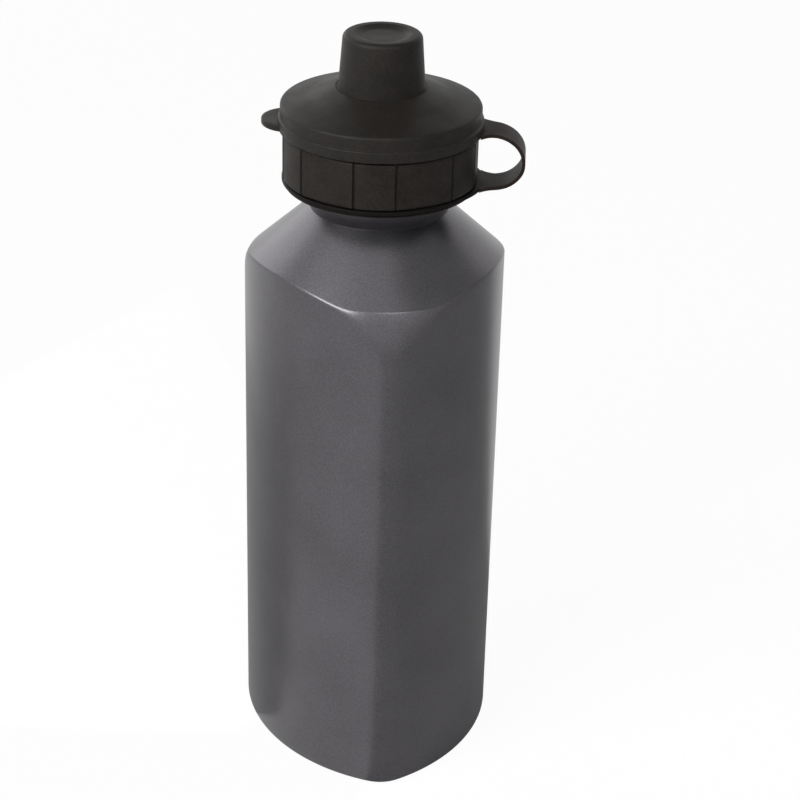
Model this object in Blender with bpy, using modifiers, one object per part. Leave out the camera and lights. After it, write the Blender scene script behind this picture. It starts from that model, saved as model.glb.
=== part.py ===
# Three-sided aluminium water bottle with a screw cap, a pull-up drinking nozzle and a tethered dust cover.
# Lengths are in metres. The origin is on the bottle's axis, in the plane it stands on, with +Z up.
# The tether strap points along +X and the cover's thumb tab along -X.
# The cap's own pieces are drawn with their height counted from the foot of its collar.

import math

import bmesh
import bpy
from mathutils import Matrix

MM = 0.001
GAP = 0.3 * MM              # clearance between pieces that touch on the real bottle

# Bottle body: a drawn aluminium can with three sides pressed in
SIDE_MID = 33.4 * MM        # axis to the middle of a pressed side
SIDE_RADIUS = 54.1 * MM     # curve of a pressed side, seen from above
CORNER_RADIUS = 10.6 * MM   # rounding of each of the three corners
BODY_TURN = 9.9             # degrees from -Y round to the front corner
BODY_WALL = 1.0 * MM
BASE_THICKNESS = 1.2 * MM
BASE_EDGE = 0.8 * MM        # rounding where the base meets the sides
BASE_INNER_EDGE = 1.4 * MM
FOOT_WIDTH = 3.6 * MM       # flat rim that the bottle stands on
PANEL_SLOPE = 1.6 * MM      # run of the step up to the base panel
BASE_RECESS = 1.0 * MM
SHOULDER_ANGLE = 42.8       # degrees from level
RIM_RADIUS = 36.5 * MM      # the can's own round rim, beyond which the pressed corners stand out
RIM_SOFT = 0.4 * MM         # how gently the corners' larger rounding begins
CREASE_ROUND = 1.5 * MM
NECK_RADIUS = 21.5 * MM
NECK_FOOT = 162.8 * MM      # height at which the shoulder reaches the neck
NECK_FILLET = 3.0 * MM
NECK_HEIGHT = 22.1 * MM     # from there to the mouth
BAND_SWELL = 1.3 * MM       # how far the band that carries the thread swells out
BAND_START = 11.1 * MM      # above the neck's foot
BAND_END = 18.7 * MM
CURL_RADIUS = 1.4 * MM      # rolled lip of the mouth

# Sealing washer between the rolled lip and the cap
GASKET_THICKNESS = 1.8 * MM
GASKET_INSET = 0.9 * MM     # from the neck's bore in to the washer's
GASKET_ROOM = 0.6 * MM      # between the washer and the cap's skirt

# Screw cap
THREAD_ROOM = 1.8 * MM      # from the thread band to the inside of the skirt
SKIRT_WALL = 2.2 * MM
SKIRT_DEPTH = 14.0 * MM     # collar foot to the underside of the deck
FOOT_LIFT = 0.4 * MM        # foot of the panels above the collar's nominal foot
COLLAR_CHAMFER = 0.8 * MM
PANEL_COUNT = 6             # wide panels, with a narrow one between each two
WIDE_PANEL = 36.0           # degrees
PANEL_TURN = 0.7            # degrees, from the strap round to the middle of the nearest wide panel
PANEL_RADIUS = 45.0 * MM    # a wide panel is flatter than the collar is round
GROOVE_WIDTH = 0.9 * MM
GROOVE_DEPTH = 0.5 * MM
DECK_THICKNESS = 2.0 * MM
DECK_STEP = 1.7 * MM        # from the collar's panels in to the step that the dust cover fits over
DECK_RISE = 1.3 * MM
CAP_SOFT = 0.6 * MM         # softening of the cap's edges
RIB_ROOM = 0.4 * MM         # between the washer and the rib under the deck that centres it
RIB_WALL = 0.8 * MM
RIB_DROP = 1.4 * MM

# Drinking tower, part of the cap
TOWER_RADIUS = 4.6 * MM
TOWER_WALL = 2.0 * MM
TOWER_HEIGHT = 9.3 * MM     # above the boss
HEAD_SWELL = 0.35 * MM      # bead at the tower's head, which stops the nozzle
HEAD_HEIGHT = 3.2 * MM
BOSS_LEDGE = 0.4 * MM       # the boss reaches this far beyond the nozzle's flange
BOSS_HEIGHT = 4.0 * MM      # above the deck
BOSS_WALL = 2.0 * MM        # the boss is hollow from below
PIN_LENGTH = 8.2 * MM       # stopper in the middle of the tower
SPOKE_COUNT = 3
SPOKE_WIDTH = 1.0 * MM
SPOKE_HEIGHT = 1.6 * MM

# Seal ring in the tower's head
SEAL_SECTION = 0.5 * MM     # radius of its round section
SEAL_ROOM = 0.15 * MM

# Pull-up nozzle
SLIDE_ROOM = 0.15 * MM      # between its bore and the tower's head
CATCH_ROOM = 0.25 * MM      # between the tower and the inner lip that catches under its head
NOZZLE_WALL = 0.9 * MM
NOZZLE_TOP_WALL = 2.9 * MM
NOZZLE_ROUND = 1.6 * MM
NOZZLE_SOFT = 0.3 * MM      # softening of its other edges
HOLE_RADIUS = 1.9 * MM
HOLE_FLARE = 1.0 * MM       # height of the funnel below the hole
FLANGE_REACH = 1.8 * MM
FLANGE_HEIGHT = 1.5 * MM

# Dust cover
COVER_LAP = 2.2 * MM        # how far its skirt reaches down past the deck's top
COVER_ROOM = 0.4 * MM       # between its skirt and the deck's step
COVER_WALL = 2.1 * MM       # of the skirt, out to the bead at its foot
BEAD_HEIGHT = 3.2 * MM
BAND_INSET = 0.3 * MM
COVER_SKIRT = 6.8 * MM      # height of the skirt
SKIRT_ROUND = 0.8 * MM
LID_RISE = 4.9 * MM         # from the edge up to the nub's foot
LID_DIP = 0.3 * MM          # the lid is slightly hollow between the two
LID_WALL = 1.4 * MM
NUB_FOOT_RADIUS = 11.65 * MM
NUB_RADIUS = 10.5 * MM      # at its top
NUB_ROOM = 5.3 * MM         # above the pushed-down nozzle, enough for it to be pulled up
NUB_ROUND = 2.3 * MM
NUB_WALL = 1.3 * MM
DISH_RADIUS = 7.6 * MM
DISH_DEPTH = 0.9 * MM
TAB_RADIUS = 7.4 * MM
TAB_REACH = 4.6 * MM        # beyond the bead
TAB_THICKNESS = 1.8 * MM

# Tether: a ring held under the collar, and a strap from it to the dust cover
RING_WIDTH = 1.0 * MM
RING_HEIGHT = 1.2 * MM
RING_SOFT = 0.3 * MM        # softening of its outer edges
ROOT_REACH = 1.6 * MM       # how far the ring swells out where the strap leaves it
ROOT_RADIUS = 20.0 * MM     # curve of that swelling
STUB_WALL = 0.7 * MM        # the skirt's own foot, which the ring goes round
LIP_HEIGHT = 0.4 * MM
LIP_OVERHANG = 0.7 * MM
STRAP_WIDTH = 10.5 * MM
STRAP_THICKNESS = 0.9 * MM
STRAP_BOW = 11.5 * MM       # how far the strap stands out from the cover
STRAP_RISE = 0.6 * MM       # upper run's middle above the cover's foot

# Smoothness
SIDE_STEPS = 12
CORNER_STEPS = 6
CREASE_STEPS = 4
TURN_STEPS = 54
FINE_TURN_STEPS = 32
ARC_STEPS = 3
BEND_STEPS = 16

# Worked out from the sizes above: the neck and the cap's skirt
MOUTH = NECK_FOOT + NECK_HEIGHT
NECK_BORE = NECK_RADIUS - BODY_WALL
BAND_RADIUS = NECK_RADIUS + BAND_SWELL
SKIRT_BORE = BAND_RADIUS + THREAD_ROOM
GASKET_BORE = NECK_BORE - GASKET_INSET
GASKET_RADIUS = SKIRT_BORE - GASKET_ROOM
RIB_RADIUS = GASKET_BORE - RIB_ROOM
PANEL_EDGE = SKIRT_BORE + SKIRT_WALL
COLLAR_FOOT = MOUTH + GAP + GASKET_THICKNESS + GAP - SKIRT_DEPTH
DECK_TOP = SKIRT_DEPTH + DECK_THICKNESS
DECK_RADIUS = PANEL_EDGE - DECK_STEP

# The tower and the nozzle
BOSS_TOP = DECK_TOP + BOSS_HEIGHT
TOWER_TOP = BOSS_TOP + TOWER_HEIGHT
TOWER_BORE = TOWER_RADIUS - TOWER_WALL
HEAD_RADIUS = TOWER_RADIUS + HEAD_SWELL
HEAD_FOOT = TOWER_TOP - HEAD_HEIGHT
SEAL_HEIGHT = HEAD_FOOT + HEAD_HEIGHT / 2
NOZZLE_BORE = HEAD_RADIUS + SLIDE_ROOM
NOZZLE_LIP = TOWER_RADIUS + CATCH_ROOM
NOZZLE_WAIST = NOZZLE_BORE + NOZZLE_WALL
FLANGE_RADIUS = NOZZLE_WAIST + FLANGE_REACH
NOZZLE_FOOT = BOSS_TOP + GAP
NOZZLE_CEILING = TOWER_TOP + GAP
NOZZLE_TOP = NOZZLE_CEILING + NOZZLE_TOP_WALL
BOSS_RADIUS = FLANGE_RADIUS + BOSS_LEDGE
BOSS_CORE = BOSS_RADIUS - BOSS_WALL
PIN_RADIUS = HOLE_RADIUS - GAP
PIN_TOP = NOZZLE_TOP - GAP
PIN_FOOT = PIN_TOP - PIN_LENGTH

# The dust cover and its tether
COVER_FOOT = DECK_TOP - COVER_LAP
COVER_EDGE = COVER_FOOT + COVER_SKIRT
COVER_BORE = DECK_RADIUS + COVER_ROOM
COVER_RADIUS = COVER_BORE + COVER_WALL
BEAD_TOP = COVER_FOOT + BEAD_HEIGHT
NUB_CEILING = NOZZLE_TOP + NUB_ROOM
NUB_TOP = NUB_CEILING + NUB_WALL + DISH_DEPTH
COLLAR_TOP = COVER_FOOT - COVER_ROOM
RING_MIDDLE = FOOT_LIFT - GAP - RING_HEIGHT / 2
STUB_RADIUS = SKIRT_BORE + STUB_WALL
RING_BORE = STUB_RADIUS + GAP
RING_RADIUS = RING_BORE + RING_WIDTH
LIP_TOP = RING_MIDDLE - RING_HEIGHT / 2 - GAP
STRAP_TOP = COVER_FOOT + STRAP_RISE
STRAP_BEND = (STRAP_TOP - RING_MIDDLE) / 2
STRAP_REACH = COVER_RADIUS + STRAP_BOW
HINGE_HEIGHT = (STRAP_TOP + RING_MIDDLE) / 2
HINGE_REACH = STRAP_REACH - STRAP_THICKNESS

for old in list(bpy.data.objects):
    bpy.data.objects.remove(old, do_unlink=True)


def new_collection(name):
    """A collection of its own in the scene."""
    made = bpy.data.collections.new(name)
    bpy.context.scene.collection.children.link(made)
    return made


PARTS = new_collection("water_bottle")
CUTTERS = new_collection("cutters")


def material(name, colour, roughness, metallic=0.0):
    """A Principled material in one plain finish."""
    made = bpy.data.materials.new(name)
    made.use_nodes = True
    shader = made.node_tree.nodes["Principled BSDF"]
    shader.inputs["Base Color"].default_value = (*colour, 1.0)
    shader.inputs["Roughness"].default_value = roughness
    shader.inputs["Metallic"].default_value = metallic
    made.diffuse_color = (*colour, 1.0)
    return made


def add_empty(name, location, parent=None):
    """A named point that pieces hang from."""
    empty = bpy.data.objects.new(name, None)
    empty.location = location
    empty.empty_display_size = 0.01
    empty.parent = parent
    PARTS.objects.link(empty)
    return empty


def add_object(name, mesh, finish=None, parent=None, location=(0, 0, 0)):
    """A part when it has a finish, and a cutter when it has none."""
    made = bpy.data.objects.new(name, mesh)
    made.parent = parent
    made.location = location
    if finish is None:
        CUTTERS.objects.link(made)
        made.hide_render = True
        made.display_type = "WIRE"
    else:
        PARTS.objects.link(made)
        mesh.materials.append(finish)
    return made


def turned(name, profile, steps, closed=True, **place):
    """A profile of (radius, height) points turned round Z, running down its outer side."""
    edges = [(i, i + 1) for i in range(len(profile) - 1)]
    if closed:
        edges.append((len(profile) - 1, 0))
    mesh = bpy.data.meshes.new(name)
    mesh.from_pydata([(radius, 0.0, height) for radius, height in profile], edges, [])
    made = add_object(name, mesh, **place)
    screw = made.modifiers.new("Turn", "SCREW")
    screw.axis = "Z"
    screw.angle = math.tau
    screw.steps = steps
    screw.render_steps = steps
    screw.use_merge_vertices = True
    screw.merge_threshold = 0.00001
    screw.use_smooth_shade = True
    return made


def prism(name, outline, low, high, axis="Z", **place):
    """A flat outline pushed out from low to high along Z or Y."""
    bm = bmesh.new()
    if axis == "Z":
        corners = [bm.verts.new((x, y, low)) for x, y in outline]
        push = (0, 0, high - low)
    else:
        corners = [bm.verts.new((x, low, z)) for x, z in outline]
        push = (0, high - low, 0)
    face = bm.faces.new(corners)
    grown = bmesh.ops.extrude_face_region(bm, geom=[face])
    moved = [item for item in grown["geom"] if isinstance(item, bmesh.types.BMVert)]
    bmesh.ops.translate(bm, vec=push, verts=moved)
    bmesh.ops.recalc_face_normals(bm, faces=bm.faces)
    mesh = bpy.data.meshes.new(name)
    bm.to_mesh(mesh)
    bm.free()
    return add_object(name, mesh, **place)


def boolean(target, tool, operation):
    """A live Boolean between two solids."""
    cut = target.modifiers.new(f"{operation.title()} {tool.name}", "BOOLEAN")
    cut.operation = operation
    cut.solver = "EXACT"
    cut.object = tool


def arc(centre, radius, start, end, steps=ARC_STEPS):
    """Points round a centre from one angle to another, in degrees, both ends included."""
    points = []
    for i in range(steps + 1):
        angle = math.radians(start + (end - start) * i / steps)
        points.append((centre[0] + radius * math.cos(angle), centre[1] + radius * math.sin(angle)))
    return points


def polar(radius, degrees):
    """A plan point at a radius and an angle from +X."""
    angle = math.radians(degrees)
    return (radius * math.cos(angle), radius * math.sin(angle))


# Bottle body

def body_outline(inset):
    """The three-sided section: long side arcs joined by tight corner arcs, drawn in by inset."""
    reach = SIDE_RADIUS - SIDE_MID
    spread = SIDE_RADIUS - CORNER_RADIUS
    corner = (math.sqrt(4 * spread ** 2 - 3 * reach ** 2) - reach) / 2
    half = math.degrees(math.atan2(corner * math.sin(math.pi / 3), corner * 0.5 + reach))
    points = []
    for side in range(3):
        facing = 120.0 * side + 30.0 + BODY_TURN - 60.0
        away = polar(-reach, facing)
        points += arc(away, SIDE_RADIUS - inset, facing - half, facing + half, SIDE_STEPS)
        tight = polar(corner, facing + 60.0)
        points += arc(tight, CORNER_RADIUS - inset, facing + half, facing + 120.0 - half, CORNER_STEPS)[1:-1]
    return points


def ring_at(outline, height):
    return [(x, y, height) for x, y in outline]


def ring_of_profiles(directions, sections):
    """Turns one list of (radius, height) points for each direction into level rings."""
    rings = []
    for row in zip(*sections):
        ring = []
        for (x, y), (radius, height) in zip(directions, row):
            ring.append((radius * x, radius * y, height))
        rings.append(ring)
    return rings


def crease_radius(reach, inset):
    """Rounding between wall and shoulder: tight on the sides, and larger where a corner stands out past the rim."""
    past = RIM_SOFT * math.log(1.0 + math.exp((reach - (RIM_RADIUS - inset)) / RIM_SOFT))
    return CREASE_ROUND - inset + past / (1.0 - math.sin(math.radians(SHOULDER_ANGLE)))


def shoulder(reach, inset):
    """Wall to shoulder to neck at one place round the body, for the outer face or the inner one."""
    slope = math.radians(SHOULDER_ANGLE)
    turn = 90.0 - SHOULDER_ANGLE
    tangent = math.tan(math.radians(turn) / 2)
    neck = NECK_RADIUS + NECK_FILLET
    neck_centre = (neck, NECK_FOOT + NECK_FILLET * tangent)
    line = NECK_FOOT + NECK_RADIUS * math.tan(slope) - inset / math.cos(slope)
    crease = crease_radius(reach, inset)
    centre = (reach - crease, line - reach * math.tan(slope) - crease * tangent)
    rise = arc(centre, crease, 0.0, turn, CREASE_STEPS)
    dip = arc(neck_centre, NECK_FILLET + inset, 180.0 + turn, 180.0, 2)
    return rise + dip


def thread_band(inset):
    """The swelled band of the neck, from the bottom up."""
    swell = BAND_RADIUS - NECK_RADIUS
    return [
        (NECK_RADIUS - inset, NECK_FOOT + BAND_START),
        (BAND_RADIUS - inset, NECK_FOOT + BAND_START + swell),
        (BAND_RADIUS - inset, NECK_FOOT + BAND_END - swell),
        (NECK_RADIUS - inset, NECK_FOOT + BAND_END),
    ]


def bottle_rings():
    """Every level ring of the shell, from the base up the outside, over the lip and down the inside."""
    inner_foot = BASE_EDGE + FOOT_WIDTH
    panel = inner_foot + PANEL_SLOPE
    outer = body_outline(0.0)
    inner = body_outline(BODY_WALL)
    outer_reach = [math.hypot(x, y) for x, y in outer]
    inner_reach = [math.hypot(x, y) for x, y in inner]
    directions = [(x / reach, y / reach) for (x, y), reach in zip(outer, outer_reach)]
    inward = [(x / reach, y / reach) for (x, y), reach in zip(inner, inner_reach)]

    rings = [[(0.0, 0.0, BASE_RECESS)]]
    rings.append(ring_at(body_outline(panel), BASE_RECESS))
    rings.append(ring_at(body_outline(inner_foot), 0.0))
    for inset, height in arc((BASE_EDGE, BASE_EDGE), BASE_EDGE, 270.0, 180.0, 2):
        rings.append(ring_at(body_outline(inset), height))
    rings += ring_of_profiles(directions, [shoulder(reach, 0.0) for reach in outer_reach])
    curl = (NECK_BORE + CURL_RADIUS, MOUTH - CURL_RADIUS)
    under = math.degrees(math.acos((BODY_WALL - CURL_RADIUS) / CURL_RADIUS))
    neck = thread_band(0.0) + arc(curl, CURL_RADIUS, -under, 180.0, 8)
    neck += reversed(thread_band(BODY_WALL))
    rings += ring_of_profiles(directions, [neck] * len(directions))
    inside = [list(reversed(shoulder(reach, BODY_WALL))) for reach in inner_reach]
    rings += ring_of_profiles(inward, inside)
    floor = BASE_THICKNESS
    inner_edge = (BODY_WALL + BASE_INNER_EDGE, floor + BASE_INNER_EDGE)
    for inset, height in arc(inner_edge, BASE_INNER_EDGE, 180.0, 270.0, 2):
        rings.append(ring_at(body_outline(inset), height))
    rings.append(ring_at(body_outline(inner_foot), floor))
    rings.append(ring_at(body_outline(panel), floor + BASE_RECESS))
    rings.append([(0.0, 0.0, floor + BASE_RECESS)])
    return rings


def loft(name, rings, **place):
    """A skin over level rings of equal counts, closed by a middle point at each end."""
    bm = bmesh.new()
    rows = [[bm.verts.new(point) for point in ring] for ring in rings]
    count = max(len(row) for row in rows)
    for low, high in zip(rows, rows[1:]):
        for i in range(count):
            j = (i + 1) % count
            if len(low) == 1:
                bm.faces.new((low[0], high[i], high[j]))
            elif len(high) == 1:
                bm.faces.new((low[i], low[j], high[0]))
            else:
                bm.faces.new((low[i], low[j], high[j], high[i]))
    bmesh.ops.recalc_face_normals(bm, faces=bm.faces)
    mesh = bpy.data.meshes.new(name)
    bm.to_mesh(mesh)
    bm.free()
    mesh.shade_smooth()
    mesh.set_sharp_from_angle(angle=math.radians(35.0))
    return add_object(name, mesh, **place)


# Screw cap

def panel_outline():
    """Plan of the collar: wide and narrow panels in turn, with an upright groove between each two."""
    step = 360.0 / PANEL_COUNT
    groove = math.degrees(GROOVE_WIDTH / PANEL_EDGE)
    points = []
    for i in range(PANEL_COUNT):
        for middle, width, radius, steps in (
            (PANEL_TURN + step * i, WIDE_PANEL, PANEL_RADIUS, 5),
            (PANEL_TURN + step * (i + 0.5), step - WIDE_PANEL, PANEL_EDGE, 4),
        ):
            half = (width - groove) / 2
            chord = PANEL_EDGE * math.sin(math.radians(half))
            bow = math.degrees(math.asin(chord / radius))
            back = PANEL_EDGE * math.cos(math.radians(half)) - radius * math.cos(math.radians(bow))
            points += arc(polar(back, middle), radius, middle - bow, middle + bow, steps)
            floor = PANEL_EDGE - GROOVE_DEPTH
            points.append(polar(floor, middle + width / 2 - groove / 4))
            points.append(polar(floor, middle + width / 2 + groove / 4))
    return points


def cap_profile():
    """Section of the cap from the tower's mouth out over the deck, down the skirt and back underneath."""
    over = PANEL_EDGE + GAP
    edge = COLLAR_CHAMFER
    soft = CAP_SOFT
    groove = SEAL_SECTION + GAP
    groove_floor = NOZZLE_BORE - 2 * SEAL_ROOM - 2 * SEAL_SECTION
    return [
        (TOWER_BORE, TOWER_TOP),
        (HEAD_RADIUS - GAP, TOWER_TOP),
        (HEAD_RADIUS, TOWER_TOP - GAP),
        (HEAD_RADIUS, SEAL_HEIGHT + groove),
        (groove_floor, SEAL_HEIGHT + groove),
        (groove_floor, SEAL_HEIGHT - groove),
        (HEAD_RADIUS, SEAL_HEIGHT - groove),
        (HEAD_RADIUS, HEAD_FOOT + HEAD_RADIUS - TOWER_RADIUS),
        (TOWER_RADIUS, HEAD_FOOT),
        (TOWER_RADIUS, BOSS_TOP),
        (BOSS_RADIUS - soft, BOSS_TOP),
        (BOSS_RADIUS, BOSS_TOP - soft),
        (BOSS_RADIUS, DECK_TOP + DECK_RISE + soft),
        (BOSS_RADIUS + soft, DECK_TOP + DECK_RISE),
        (DECK_RADIUS - soft, DECK_TOP),
        (DECK_RADIUS, DECK_TOP - soft),
        (DECK_RADIUS, COLLAR_TOP),
        (over - edge - GAP, COLLAR_TOP),
        (over, COLLAR_TOP - edge - GAP),
        (over, FOOT_LIFT + edge),
        (over - edge, FOOT_LIFT),
        (STUB_RADIUS, FOOT_LIFT),
        (STUB_RADIUS, LIP_TOP),
        (STUB_RADIUS + LIP_OVERHANG, LIP_TOP),
        (STUB_RADIUS + LIP_OVERHANG, LIP_TOP - LIP_HEIGHT),
        (SKIRT_BORE + LIP_HEIGHT, LIP_TOP - LIP_HEIGHT),
        (SKIRT_BORE, LIP_TOP),
        (SKIRT_BORE, SKIRT_DEPTH - soft),
        (SKIRT_BORE - soft, SKIRT_DEPTH),
        (RIB_RADIUS, SKIRT_DEPTH),
        (RIB_RADIUS, SKIRT_DEPTH - RIB_DROP),
        (RIB_RADIUS - RIB_WALL, SKIRT_DEPTH - RIB_DROP),
        (RIB_RADIUS - RIB_WALL, SKIRT_DEPTH),
        (BOSS_CORE, SKIRT_DEPTH),
        (BOSS_CORE, BOSS_TOP - DECK_THICKNESS),
        (TOWER_BORE, BOSS_TOP - DECK_THICKNESS),
    ]


def make_cap(axis, plastic):
    """Collar, deck and drinking tower in one moulding, with a stopper pin held on spokes."""
    cap = turned("screw_cap", cap_profile(), TURN_STEPS, finish=plastic, parent=axis)
    panels = prism("collar_panels", panel_outline(), LIP_TOP - LIP_HEIGHT - GAP, NOZZLE_TOP, parent=axis)
    boolean(cap, panels, "INTERSECT")
    outline = [
        (0.0, PIN_TOP),
        (PIN_RADIUS - GAP, PIN_TOP),
        (PIN_RADIUS, PIN_TOP - GAP),
        (PIN_RADIUS, PIN_FOOT),
        (0.0, PIN_FOOT),
    ]
    pin = turned("stopper_pin", outline, FINE_TURN_STEPS, closed=False, parent=axis)
    boolean(cap, pin, "UNION")
    start = PIN_RADIUS / 2
    end = (TOWER_BORE + TOWER_RADIUS) / 2
    middle = ((start + end) / 2, 0.0, PIN_FOOT + SPOKE_HEIGHT / 2 + GAP)
    for i in range(SPOKE_COUNT):
        mesh = bpy.data.meshes.new("stopper_spoke")
        bm = bmesh.new()
        bmesh.ops.create_cube(bm, size=1.0)
        bmesh.ops.scale(bm, vec=(end - start, SPOKE_WIDTH, SPOKE_HEIGHT), verts=bm.verts)
        bmesh.ops.translate(bm, vec=middle, verts=bm.verts)
        bmesh.ops.rotate(bm, matrix=Matrix.Rotation(math.tau * i / SPOKE_COUNT, 3, "Z"), verts=bm.verts)
        bm.to_mesh(mesh)
        bm.free()
        boolean(cap, add_object(f"stopper_spoke_{i + 1}", mesh, parent=axis), "UNION")
    return cap


def make_gasket(axis, rubber):
    low = SKIRT_DEPTH - GAP - GASKET_THICKNESS
    high = SKIRT_DEPTH - GAP
    profile = [(GASKET_BORE, high), (GASKET_RADIUS, high), (GASKET_RADIUS, low), (GASKET_BORE, low)]
    return turned("gasket", profile, TURN_STEPS, finish=rubber, parent=axis)


def make_seal(axis, rubber):
    centre = (NOZZLE_BORE - SEAL_ROOM - SEAL_SECTION, SEAL_HEIGHT)
    profile = arc(centre, SEAL_SECTION, 90.0, -225.0, 7)
    return turned("stem_seal", profile, FINE_TURN_STEPS, finish=rubber, parent=axis)


def make_nozzle(axis, plastic):
    """The sliding mouthpiece, drawn pushed down, with the stopper pin in its hole."""
    soft = NOZZLE_SOFT
    mouth = (NOZZLE_WAIST - NOZZLE_ROUND, NOZZLE_TOP - NOZZLE_ROUND)
    lip = NOZZLE_FOOT + soft
    profile = [(HOLE_RADIUS, NOZZLE_TOP)]
    profile += arc(mouth, NOZZLE_ROUND, 90.0, 0.0)
    profile += [
        (NOZZLE_WAIST - soft, (NOZZLE_TOP + NOZZLE_FOOT) / 2),
        (NOZZLE_WAIST, NOZZLE_FOOT + 2 * FLANGE_HEIGHT),
        (FLANGE_RADIUS - soft, NOZZLE_FOOT + FLANGE_HEIGHT),
        (FLANGE_RADIUS, NOZZLE_FOOT + FLANGE_HEIGHT - soft),
        (FLANGE_RADIUS, NOZZLE_FOOT + soft),
        (FLANGE_RADIUS - soft, NOZZLE_FOOT),
        (NOZZLE_BORE, NOZZLE_FOOT),
        (NOZZLE_LIP, lip),
        (NOZZLE_LIP, lip + 2 * soft),
        (NOZZLE_BORE, lip + 3 * soft),
        (NOZZLE_BORE, NOZZLE_CEILING),
        (HOLE_RADIUS, NOZZLE_CEILING + HOLE_FLARE),
    ]
    return turned("pull_nozzle", profile, FINE_TURN_STEPS, finish=plastic, parent=axis)


# Dust cover and tether

def cover_profile():
    """Section of the cover from the middle of the dished nub down the outside and back up the inside."""
    skirt = COVER_RADIUS - BAND_INSET
    nub_foot = COVER_EDGE + LID_RISE
    lid_start = skirt - SKIRT_ROUND
    mid_radius = (lid_start + NUB_FOOT_RADIUS) / 2
    mid_height = (COVER_EDGE + nub_foot) / 2 - LID_DIP
    nub_edge = (NUB_RADIUS - NUB_ROUND, NUB_TOP - NUB_ROUND)
    outside = [
        (0.0, NUB_TOP - DISH_DEPTH),
        (DISH_RADIUS * 0.6, NUB_TOP - DISH_DEPTH * 0.8),
        (DISH_RADIUS, NUB_TOP),
    ]
    outside += arc(nub_edge, NUB_ROUND, 90.0, 5.0, 4)
    outside += [
        (NUB_FOOT_RADIUS, nub_foot),
        (mid_radius, mid_height),
    ]
    outside += arc((lid_start, COVER_EDGE - SKIRT_ROUND), SKIRT_ROUND, 75.0, 0.0)
    outside += [
        (skirt - BAND_INSET, BEAD_TOP + GAP),
        (skirt - BAND_INSET, BEAD_TOP),
        (COVER_RADIUS - BAND_INSET, BEAD_TOP - GAP),
        (COVER_RADIUS, BEAD_TOP - 3 * GAP),
        (COVER_RADIUS, COVER_FOOT + GAP),
        (COVER_RADIUS - GAP, COVER_FOOT),
    ]
    inside = [
        (COVER_BORE, COVER_FOOT),
        (COVER_BORE, COVER_EDGE - 2 * LID_WALL),
        (COVER_BORE - LID_WALL / 2, COVER_EDGE - LID_WALL),
        (mid_radius, mid_height - LID_WALL),
        (NUB_FOOT_RADIUS - NUB_WALL, nub_foot - LID_WALL),
        (NUB_RADIUS - NUB_WALL, NUB_CEILING - NUB_WALL / 2),
        (NUB_RADIUS - 1.5 * NUB_WALL, NUB_CEILING),
        (0.0, NUB_CEILING),
    ]
    return outside + inside


def make_cover(hinge, plastic):
    """The dust cover with its thumb tab. Its parent stands on the line that the strap bends about."""
    back = (-HINGE_REACH, 0.0, -HINGE_HEIGHT)
    cover = turned(
        "dust_cover", cover_profile(), TURN_STEPS, closed=False, finish=plastic, parent=hinge, location=back)
    centre = COVER_RADIUS + TAB_REACH - TAB_RADIUS
    outline = [(x - centre, y) for x, y in arc((0.0, 0.0), TAB_RADIUS, 0.0, 345.0, 23)]
    tab = prism("thumb_tab", outline, COVER_FOOT, COVER_FOOT + TAB_THICKNESS, parent=hinge, location=back)
    hollow = (COVER_BORE + COVER_RADIUS) / 2
    core = prism(
        "thumb_tab_core", arc((0.0, 0.0), hollow, 0.0, 354.0, TURN_STEPS - 1),
        COVER_FOOT - GAP, COVER_FOOT + TAB_THICKNESS + GAP, parent=hinge, location=back)
    boolean(tab, core, "DIFFERENCE")
    boolean(cover, tab, "UNION")
    return cover


def root_outline():
    """Plan of the crescent that swells out of the ring where the strap leaves it."""
    centre = RING_RADIUS + ROOT_REACH - ROOT_RADIUS
    cosine = (RING_RADIUS ** 2 - centre ** 2 - ROOT_RADIUS ** 2) / (2 * centre * ROOT_RADIUS)
    half = math.acos(cosine)
    seen = math.degrees(math.atan2(ROOT_RADIUS * math.sin(half), centre + ROOT_RADIUS * cosine))
    half = math.degrees(half)
    outer = arc((centre, 0.0), ROOT_RADIUS, -half, half, 10)
    return outer + arc((0.0, 0.0), (RING_BORE + RING_RADIUS) / 2, seen, -seen, 10)


def make_ring(axis, plastic):
    """The ring that turns in the groove under the collar, with the root of the strap."""
    low = RING_MIDDLE - RING_HEIGHT / 2
    high = RING_MIDDLE + RING_HEIGHT / 2
    soft = RING_SOFT
    profile = [
        (RING_BORE, high),
        (RING_RADIUS - soft, high),
        (RING_RADIUS, high - soft),
        (RING_RADIUS, low + soft),
        (RING_RADIUS - soft, low),
        (RING_BORE, low),
    ]
    ring = turned("tether_ring", profile, TURN_STEPS, finish=plastic, parent=axis)
    root = prism("strap_root", root_outline(), low + soft / 2, high - soft / 2, parent=axis)
    boolean(ring, root, "UNION")
    return ring


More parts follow.
